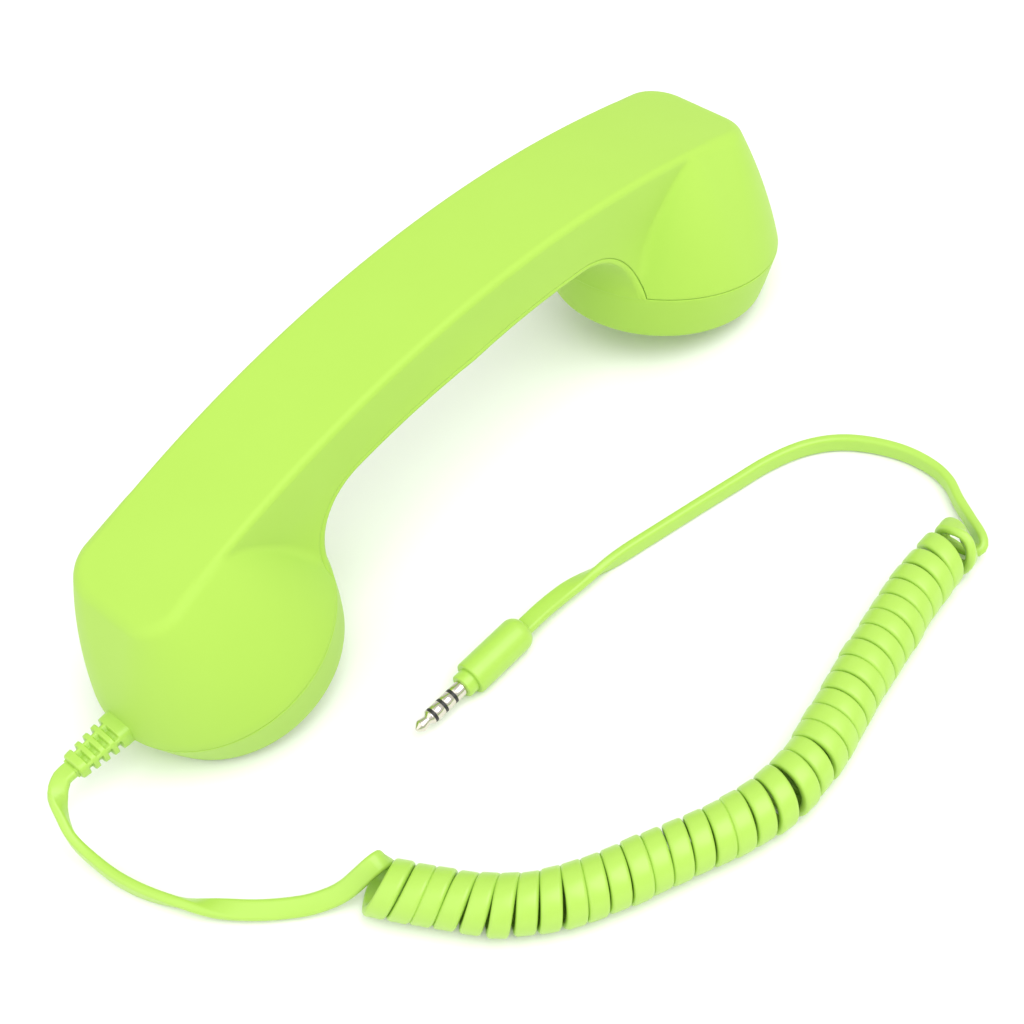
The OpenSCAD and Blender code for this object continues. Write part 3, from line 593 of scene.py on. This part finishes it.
def rimProfile():
    # closed loop of the rim ring, with its floor and the pocket for the cap
    cup, bottom = handset["cupRadius"], -handset["ringHeight"]
    slope = (cup - handset["rimRadius"]) / handset["ringHeight"]
    lean = math.degrees(math.atan(slope))
    outer = [(cup - inset, -drop) for inset, drop in rim["seamTop"]]
    outer += [(cup - drop * slope - inset, -drop) for inset, drop in rim["seamEdge"]]
    outer += [(cup - drop * slope, -drop) for drop in rim["wallDrops"]]
    r = handset["rimRound"]
    centre = handset["rimRadius"] - r + rim["footOut"]
    outer += arcPoints(centre, bottom + r, r, -lean, -90, rim["footSteps"])
    pocket, e = handset["capRadius"] + rim["pocketGap"], rim["pocketRound"]
    inner = arcPoints(pocket + e, bottom + e, e, -90, -180, rim["pocketSteps"])
    floorH = -(handset["ringHeight"] - handset["capDepth"])
    roofH = floorH + handset["floorThick"]
    inner += [(pocket, floorH), (onAxis, floorH), (onAxis, roofH), (rim["floorRadius"], roofH)]
    return outer + inner + [(cup - rim["innerInset"], -rim["innerDrop"])]


def makeShells():
    points, faces = closedShell(False)
    outer = makeMesh("outerShell", points, faces, replaced=("outer_shell",), slot="soft_lime")
    fixNormals(outer)
    points, faces = closedShell(True)
    plate = makeMesh("innerShell", points, faces, replaced=("inner_shell",), slot="soft_lime")
    fixNormals(plate)
    rings = []
    for side, name in ((1, "earRim"), (-1, "mouthRim")):
        points, faces = lathe(rimProfile(), atCup(side), rim["segments"])
        ring = makeMesh(name, points, faces, slot="soft_lime")
        fixNormals(ring)
        rings.append(ring)
    return [outer, plate, *rings]


# Call button: its dished face, its well in the underside, and the flange and post behind it
button = {
    "segments": 96, "radius": 4.8, "proud": 1.0, "gap": 0.25, "edgeRound": 0.55, "edgeSteps": 8,
    "dish": 0.3, "dishReach": 0.8, "dishSteps": (0.2, 0.4, 0.6, 0.74),
    "seat": 0.05, "flangeWidth": 1.2, "flangeThick": 0.8, "postRadius": 1.4, "post": 0.8,
    "wellRound": 0.3, "wellAngles": (0.5, 1.0, 1.5), "wellEdge": 0.1, "wellPast": 2,
}


def upright(u, v, h):
    return (u, v, h)


def makeButton():
    under = arcZ + underRadius
    face, shoulder = under - button["proud"], under + handset["wall"] + button["seat"]
    r, e, dish = button["radius"], button["edgeRound"], button["dish"]
    profile = [(onAxis, face + dish)]
    profile += [(r * k, face + dish * (1 - (k / button["dishReach"]) ** 2)) for k in button["dishSteps"]]
    profile += arcPoints(r - e, face + e, e, -90, 0, button["edgeSteps"])
    flange, flangeTop = r + button["flangeWidth"], shoulder + button["flangeThick"]
    postTop = flangeTop + button["post"]
    profile += [(r, shoulder), (flange, shoulder), (flange, flangeTop)]
    profile += [(button["postRadius"], flangeTop), (button["postRadius"], postTop), (onAxis, postTop)]
    points, faces = lathe(profile, upright, button["segments"])
    piece = makeMesh("callButton", points, faces, body="button", replaced=("call_button",),
                     slot="button_lime")
    fixNormals(piece)
    return piece


def cutButtonWell(plate):
    under = arcZ + underRadius
    r, e = button["radius"] + button["gap"], button["wellRound"]
    low, foot = under - button["wellPast"], under - button["wellEdge"]
    high = under + handset["wall"] + button["wellPast"]
    profile = [(onAxis, low), (r + e, low), (r + e, foot)]
    profile += [(r + e - e * math.sin(a), foot + e - e * math.cos(a)) for a in button["wellAngles"]]
    profile += [(r, high), (onAxis, high)]
    points, faces = lathe(profile, upright, button["segments"])
    data = bpy.data.meshes.new("wellCutter")
    data.from_pydata([tuple(p) for p in points * mm], [], faces)
    cutter = bpy.data.objects.new("wellCutter", data)
    bpy.context.scene.collection.objects.link(cutter)
    fixNormals(cutter)
    step = plate.modifiers.new("buttonWell", "BOOLEAN")
    step.operation = "DIFFERENCE"
    step.solver = "EXACT"
    step.object = cutter
    bpy.context.view_layer.update()
    view = bpy.context.evaluated_depsgraph_get()
    opened = bpy.data.meshes.new_from_object(plate.evaluated_get(view))
    plate.modifiers.clear()
    plate.data = opened
    bpy.data.objects.remove(cutter)


shells = makeShells()
cutButtonWell(shells[1])
callButton = makeButton()
print("shells made:", sum(len(s.data.vertices) for s in shells), "points")


# Strain-relief boot: a tapered oval with rows of slots that leave four ribs between them
boot = {
    "start": 101.2, "end": 116.2, "z": 12.8,
    "width": 8.5, "height": 5.8, "endWidth": 6.3, "endHeight": 4.5, "headLength": 3.2,
    "endRound": 0.6, "ovalPower": 3.4, "lengthStep": 0.11, "turnStep": 3.0,
    "firstSlot": 5.0, "slotPitch": 2.42, "slots": 4, "slotWidth": 1.1, "slotDepth": 1.2, "slotEdge": 0.1,
    "ribs": 4, "ribAngle": 8.5, "ribEdge": 2, "roll": 22,
}


def makeBoot():
    length, head, power = boot["end"] - boot["start"], boot["headLength"], boot["ovalPower"]
    turns = np.radians(np.arange(0, 360, boot["turnStep"]))
    c, n = np.cos(turns), np.sin(turns)
    between = 360 / boot["ribs"]
    fromRib = np.abs((np.degrees(turns) + boot["roll"] + between / 2) % between - between / 2)
    inSlot = smoothRamp(fromRib, boot["ribAngle"] - boot["ribEdge"], boot["ribAngle"] + boot["ribEdge"])
    halfSlot, edge = boot["slotWidth"] / 2, boot["slotEdge"]
    rings = []
    for s in np.arange(0, length + 0.001, boot["lengthStep"]):
        share = np.clip((s - head) / (length - head), 0, 1)
        halfY = (boot["width"] + (boot["endWidth"] - boot["width"]) * share) / 2
        halfZ = (boot["height"] + (boot["endHeight"] - boot["height"]) * share) / 2
        # the end's edge is rounded
        out = max(0, s - (length - boot["endRound"])) / boot["endRound"]
        shrink = boot["endRound"] * (1 - math.sqrt(max(0, 1 - out * out)))
        halfY, halfZ = halfY - shrink, halfZ - shrink
        # rounded rectangle seen from its middle, as a high-power oval
        radius = (np.abs(c / halfY) ** power + np.abs(n / halfZ) ** power) ** (-1 / power)
        row = min(abs(s - boot["firstSlot"] - k * boot["slotPitch"]) for k in range(boot["slots"]))
        inRow = 1 - smoothRamp(row, halfSlot - edge, halfSlot + edge)
        radius = radius - boot["slotDepth"] * inRow * inSlot
        x = np.full_like(turns, -boot["start"] - s)
        rings.append(np.stack([x, radius * c, boot["z"] + radius * n], axis=1))
    points, faces = loftTube(rings)
    piece = makeMesh("cordBoot", points, faces, replaced=("strain_relief",), slot="cord_lime")
    fixNormals(piece)
    return piece


bootPiece = makeBoot()


# Plug: x, y and z are the middle of the mould's back. bandStep is a share of the pin's length.
# tipWaist is radius and distance past the tip's start, and tipHead is radius and distance before its end
plug = {
    "segments": 72, "x": -27.2, "y": -46.4, "z": 4, "mouldLength": 17.4, "mouldRadius": 4,
    "backRound": 2.8, "backSteps": 10, "mouldRings": (6, 10, 14), "noseRound": 0.5,
    "collarRadius": 2.85, "collarOut": 2.6, "collarRound": 0.4, "roundSteps": 5, "sunk": 2,
    "pinRadius": 1.75, "pinLength": 14, "bandStep": 0.218, "bandWidth": 0.7, "core": 0.4, "bevel": 0.08,
    "tipBand": 0.35, "tipWaist": ((1.02, 1.0), (1.02, 1.35)),
    "tipHead": ((1.42, 1.55), (1.3, 1.15), (0.45, 0.12), (0.25, 0)),
}


def alongPlug(u, v, h):
    # h runs from the mould's back towards the tip
    return (plug["x"] - h, plug["y"] + u, plug["z"] + v)


def mouldProfile(nose):
    r, back, e = plug["mouldRadius"], plug["backRound"], plug["noseRound"]
    profile = [(onAxis, 0)] + arcPoints(r - back, back, back, -90, 0, plug["backSteps"])
    profile += [(r, h) for h in plug["mouldRings"]]
    return profile + arcPoints(r - e, nose - e, e, 0, 90, plug["roundSteps"]) + [(onAxis, nose)]


def collarProfile(nose, base):
    r, e = plug["collarRadius"], plug["collarRound"]
    profile = [(onAxis, nose - plug["sunk"]), (r, nose - plug["sunk"]), (r, nose)]
    return profile + arcPoints(r - e, base - e, e, 0, 90, plug["roundSteps"]) + [(onAxis, base)]


def barrelProfile(start, end):
    p, core, bevel = plug["pinRadius"], plug["core"], plug["bevel"]
    return [(core, start), (p - bevel, start), (p, start + bevel),
            (p, end - bevel), (p - bevel, end), (core, end)]


def tipProfile(start, end):
    p, bevel = plug["pinRadius"], plug["bevel"]
    profile = [(onAxis, start), (p - bevel, start), (p, start + bevel), (p, start + plug["tipBand"])]
    profile += [(r, start + h) for r, h in plug["tipWaist"]]
    profile += [(r, end - h) for r, h in plug["tipHead"]]
    return profile + [(onAxis, end)]


def makePlug():
    nose, base = plug["mouldLength"], plug["mouldLength"] + plug["collarOut"]
    step, half = plug["bandStep"] * plug["pinLength"], plug["bandWidth"] / 2
    bands = [base + k * step for k in (1, 2, 3)]
    sleeve = barrelProfile(base - plug["sunk"], bands[0] - half)
    made = []
    for name, profile, node, slot in (
        ("plugMould", mouldProfile(nose), "plug_mould", "cord_lime"),
        ("plugCollar", collarProfile(nose, base), "plug_collar", "cord_lime"),
        ("plugSleeve", sleeve, "plug_sleeve", "plug_nickel"),
        ("plugRingMic", barrelProfile(bands[0] + half, bands[1] - half), "plug_ring_mic", "plug_nickel"),
        ("plugRingEar", barrelProfile(bands[1] + half, bands[2] - half), "plug_ring_ear", "plug_nickel"),
        ("plugTip", tipProfile(bands[2] + half, base + plug["pinLength"]), "plug_tip", "plug_nickel"),
    ):
        points, faces = lathe(profile, alongPlug, plug["segments"])
        piece = makeMesh(name, points, faces, replaced=(node,), slot=slot)
        fixNormals(piece)
        made.append(piece)
    return made


plugPieces = makePlug()
[tuple(p) for p in cordPath * mm]
print("boot and plug made")


def linearColour(code):
    # sRGB hex to linear
    parts = [int(code[k:k + 2], 16) / 255 for k in (1, 3, 5)]
    return (*[p / 12.92 if p <= 0.04045 else ((p + 0.055) / 1.055) ** 2.4 for p in parts], 1)


def addNode(tree, kind, settings=None, links=None):
    # settings are sockets or properties by name; links are (node, output) by socket
    node = tree.nodes.new(kind)
    for key, value in (settings or {}).items():
        if key in node.inputs:
            node.inputs[key].default_value = value
        else:
            setattr(node, key, value)
    for key, (source, output) in (links or {}).items():
        tree.links.new(source.outputs[output], node.inputs[key])
    return node


def makeFinish(name, spec):
    # colour that varies a little, roughness that varies a little, and a fine grain
    material = bpy.data.materials.new(name)
    material.use_nodes = True
    tree = material.node_tree
    tree.nodes.clear()
    place = addNode(tree, "ShaderNodeTexCoord")
    inObject = {"Vector": (place, "Object")}
    cloud = addNode(tree, "ShaderNodeTexNoise", {"Scale": 1 / (spec["cloudSize"] * mm), "Detail": 3.0},
                    inObject)
    colour = addNode(tree, "ShaderNodeMixRGB", {"Color1": linearColour(spec["colour"]),
                                                "Color2": linearColour(spec["second"])},
                     {"Fac": (cloud, "Fac")})
    rough = addNode(tree, "ShaderNodeMapRange", {"To Min": spec["roughness"] - spec["roughSpread"],
                                                 "To Max": spec["roughness"] + spec["roughSpread"]},
                    {"Value": (cloud, "Fac")})
    grain = addNode(tree, "ShaderNodeTexNoise", {"Scale": 1 / (spec["grainSize"] * mm), "Detail": 2.0},
                    inObject)
    height, output = grain, "Fac"
    if "threadSize" in spec:
        # two crossed sets of ridges, or one set for a winding; a wave repeats every pi / 10 of its scale
        scale = math.pi / 10 / (spec["threadSize"] * mm)
        ways = [addNode(tree, "ShaderNodeTexWave", {"wave_type": "BANDS", "bands_direction": way,
                                                    "Scale": scale, "Distortion": 0.4}, inObject)
                for way in spec["threadWays"]]
        height = addNode(tree, "ShaderNodeMath", {"operation": "MAXIMUM"})
        tree.links.new(ways[0].outputs["Fac"], height.inputs[0])
        tree.links.new(ways[-1].outputs["Fac"], height.inputs[1])
        output = "Value"
    bump = addNode(tree, "ShaderNodeBump", {"Strength": 1.0, "Distance": spec["grainDepth"] * mm},
                   {"Height": (height, output)})
    shader = addNode(tree, "ShaderNodeBsdfPrincipled", spec.get("shader"),
                     {"Base Color": (colour, "Color"), "Roughness": (rough, "Result"),
                      "Normal": (bump, "Normal")})
    addNode(tree, "ShaderNodeOutputMaterial", links={"Surface": (shader, "BSDF")})
    return material


# Sizes and depths are in millimetres: cloud is how far apart the two colours drift, grain is the bump
finishes = {
    # ABS under a soft-touch rubber paint: even, velvety, no sharp highlight
    "softTouchLime": {"colour": "#A4CD4B", "second": "#A1CA48", "cloudSize": 18, "roughness": 0.62,
                      "roughSpread": 0.04, "grainSize": 0.25, "grainDepth": 0.006,
                      "shader": {"IOR": 1.46, "Sheen Weight": 0.08, "Sheen Roughness": 0.5}},
    # flexible vinyl, extruded: even lime with a wet-looking highlight
    "cordVinylLime": {"colour": "#A7CF54", "second": "#A3CC4F", "cloudSize": 6, "roughness": 0.34,
                      "roughSpread": 0.05, "grainSize": 0.5, "grainDepth": 0.004,
                      "shader": {"IOR": 1.5}},
    # satin ABS, moulded and not painted
    "satinButtonLime": {"colour": "#98C247", "second": "#94BE43", "cloudSize": 5, "roughness": 0.4,
                        "roughSpread": 0.04, "grainSize": 0.2, "grainDepth": 0.004,
                        "shader": {"IOR": 1.5}},
    # turned brass plated with nickel: bright warm grey metal
    "nickelPlate": {"colour": "#D9D4C6", "second": "#CFCABC", "cloudSize": 1.2, "roughness": 0.2,
                    "roughSpread": 0.04, "grainSize": 0.15, "grainDepth": 0.002,
                    "shader": {"Metallic": 1.0}},
    # glass-filled nylon rings: flat black
    "blackNylon": {"colour": "#1D1E1C", "second": "#262724", "cloudSize": 0.8, "roughness": 0.45,
                   "roughSpread": 0.05, "grainSize": 0.1, "grainDepth": 0.002,
                   "shader": {"IOR": 1.5}},
    # woven polyester gauze: dull black with fine threads
    "speakerCloth": {"colour": "#202123", "second": "#34363A", "cloudSize": 0.6, "roughness": 0.9,
                     "roughSpread": 0.05, "grainSize": 0.3, "grainDepth": 0.08, "threadSize": 0.35,
                     "threadWays": ("X", "Y"), "shader": {"Sheen Weight": 0.3}},
    # open-cell foam
    "blackFoam": {"colour": "#2B2C2E", "second": "#3A3B3D", "cloudSize": 1, "roughness": 0.95,
                  "roughSpread": 0.03, "grainSize": 0.5, "grainDepth": 0.15},
    # cold-rolled steel, pressed and zinc plated
    "pressedSteel": {"colour": "#B4B7BA", "second": "#A5A8AC", "cloudSize": 4, "roughness": 0.35,
                     "roughSpread": 0.08, "grainSize": 0.3, "grainDepth": 0.004,
                     "shader": {"Metallic": 1.0}},
    # pressed paper pulp, dyed black
    "paperCone": {"colour": "#2A2826", "second": "#383532", "cloudSize": 0.9, "roughness": 0.85,
                  "roughSpread": 0.05, "grainSize": 0.35, "grainDepth": 0.04},
    # enamelled copper wire, wound
    "woundCopper": {"colour": "#B8713A", "second": "#A5602E", "cloudSize": 0.5, "roughness": 0.3,
                    "roughSpread": 0.06, "grainSize": 0.12, "grainDepth": 0.03, "threadSize": 0.12,
                    "threadWays": ("Z",), "shader": {"Metallic": 1.0}},
    # neodymium magnet, nickel plated
    "magnetNickel": {"colour": "#C4C6C8", "second": "#B6B8BA", "cloudSize": 3, "roughness": 0.25,
                     "roughSpread": 0.05, "grainSize": 0.3, "grainDepth": 0.003,
                     "shader": {"Metallic": 1.0}},
    # moulded silicone rubber
    "blackRubber": {"colour": "#1F2022", "second": "#2A2B2D", "cloudSize": 2, "roughness": 0.7,
                    "roughSpread": 0.06, "grainSize": 0.25, "grainDepth": 0.01,
                    "shader": {"IOR": 1.42}},
    # glass-epoxy board under green solder mask
    "boardGreen": {"colour": "#2F6B3A", "second": "#357542", "cloudSize": 1.5, "roughness": 0.35,
                   "roughSpread": 0.06, "grainSize": 0.4, "grainDepth": 0.01,
                   "shader": {"IOR": 1.55}},
    # white acetal, moulded
    "whiteAcetal": {"colour": "#E9E8E2", "second": "#E2E1DA", "cloudSize": 1, "roughness": 0.4,
                    "roughSpread": 0.04, "grainSize": 0.2, "grainDepth": 0.004,
                    "shader": {"IOR": 1.48}},
    # hot-rolled steel bar with its dark mill scale
    "ballastSteel": {"colour": "#6E7074", "second": "#5A5C60", "cloudSize": 3, "roughness": 0.5,
                     "roughSpread": 0.1, "grainSize": 0.4, "grainDepth": 0.02,
                     "shader": {"Metallic": 1.0}},
    # wire insulation, soft vinyl
    "redVinyl": {"colour": "#B3322B", "second": "#A82D27", "cloudSize": 1, "roughness": 0.4,
                 "roughSpread": 0.05, "grainSize": 0.2, "grainDepth": 0.005,
                 "shader": {"IOR": 1.5}},
    "whiteVinyl": {"colour": "#E4E3DE", "second": "#DAD9D3", "cloudSize": 1, "roughness": 0.4,
                   "roughSpread": 0.05, "grainSize": 0.2, "grainDepth": 0.005,
                   "shader": {"IOR": 1.5}},
}
nodeFinishes = {
    "softTouchLime": ["outer_shell", "inner_shell", "ear_cap", "mouth_cap"],
    "cordVinylLime": ["strain_relief", "lead_cord", "curly_cord", "tail_cord", "plug_mould",
                      "plug_collar", "cord_inner_end", "cord_clamp"],
    "satinButtonLime": ["call_button"],
    "nickelPlate": ["plug_sleeve", "plug_ring_mic", "plug_ring_ear", "plug_tip"],
    "blackNylon": ["plug_insulators", "tact_switch"],
    "speakerCloth": ["ear_cloth", "mouth_cloth"],
    "blackFoam": ["speaker_gasket"],
    "pressedSteel": ["speaker_basket", "mic_capsule", "board_screws", "ballast_screws", "shell_screws",
                     "clamp_screws"],
    "paperCone": ["speaker_diaphragm"],
    "woundCopper": ["voice_coil"],
    "magnetNickel": ["speaker_magnet"],
    "blackRubber": ["mic_boot"],
    "boardGreen": ["button_board"],
    "whiteAcetal": ["switch_plunger"],
    "ballastSteel": ["ballast_bars"],
    "redVinyl": ["speaker_leads"],
    "whiteVinyl": ["mic_leads"],
}
pieceFinishes = {
    "softTouchLime": shells,
    "cordVinylLime": [cordPiece, bootPiece, *plugPieces[:2]],
    "nickelPlate": plugPieces[2:],
    "satinButtonLime": [callButton],
}


def dressPieces():
    for name, spec in finishes.items():
        material = makeFinish(name, spec)
        for node in nodeFinishes.get(name, []):
            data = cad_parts[node].data
            data.materials.clear()
            data.materials.append(material)
        for piece in pieceFinishes.get(name, []):
            piece.data.materials.clear()
            piece.data.materials.append(material)


dressPieces()
print("materials made:", len(finishes))


# Floor and lights, in metres and watts
studio = {
    "floorSize": 6, "floorColour": "#F6F6F5", "floorRoughness": 0.9, "floorDrop": 0.0001,
    "skyStrength": 0.8,
    "lights": {
        "keyLight": {"place": (0.1, -0.6, 1.1), "energy": 12, "size": 1.1},
        "fillLight": {"place": (-0.9, 0.1, 0.7), "energy": 5, "size": 1.4},
    },
}


def makeStudio():
    half = studio["floorSize"] / 2
    data = bpy.data.meshes.new("studioFloor")
    corners = [(-half, -half, 0), (half, -half, 0), (half, half, 0), (-half, half, 0)]
    data.from_pydata(corners, [], [(0, 1, 2, 3)])
    floor = bpy.data.objects.new("studioFloor", data)
    bpy.context.scene.collection.objects.link(floor)
    floor.location.z = cadLow.z - studio["floorDrop"]
    paper = bpy.data.materials.new("whitePaper")
    paper.use_nodes = True
    shader = paper.node_tree.nodes["Principled BSDF"]
    shader.inputs["Base Color"].default_value = linearColour(studio["floorColour"])
    shader.inputs["Roughness"].default_value = studio["floorRoughness"]
    data.materials.append(paper)
    world = bpy.data.worlds.new("softSky")
    world.use_nodes = True
    sky = world.node_tree.nodes["Background"]
    sky.inputs["Color"].default_value = (1, 1, 1, 1)
    sky.inputs["Strength"].default_value = studio["skyStrength"]
    bpy.context.scene.world = world
    for name, settings in studio["lights"].items():
        lamp = bpy.data.lights.new(name, "AREA")
        lamp.energy = settings["energy"]
        lamp.size = settings["size"]
        light = bpy.data.objects.new(name, lamp)
        light.location = settings["place"]
        light.rotation_mode = "QUATERNION"
        light.rotation_quaternion = (-Vector(settings["place"])).to_track_quat("-Z", "Y")
        bpy.context.scene.collection.objects.link(light)
    bpy.context.scene.view_settings.view_transform = "Standard"


makeStudio()
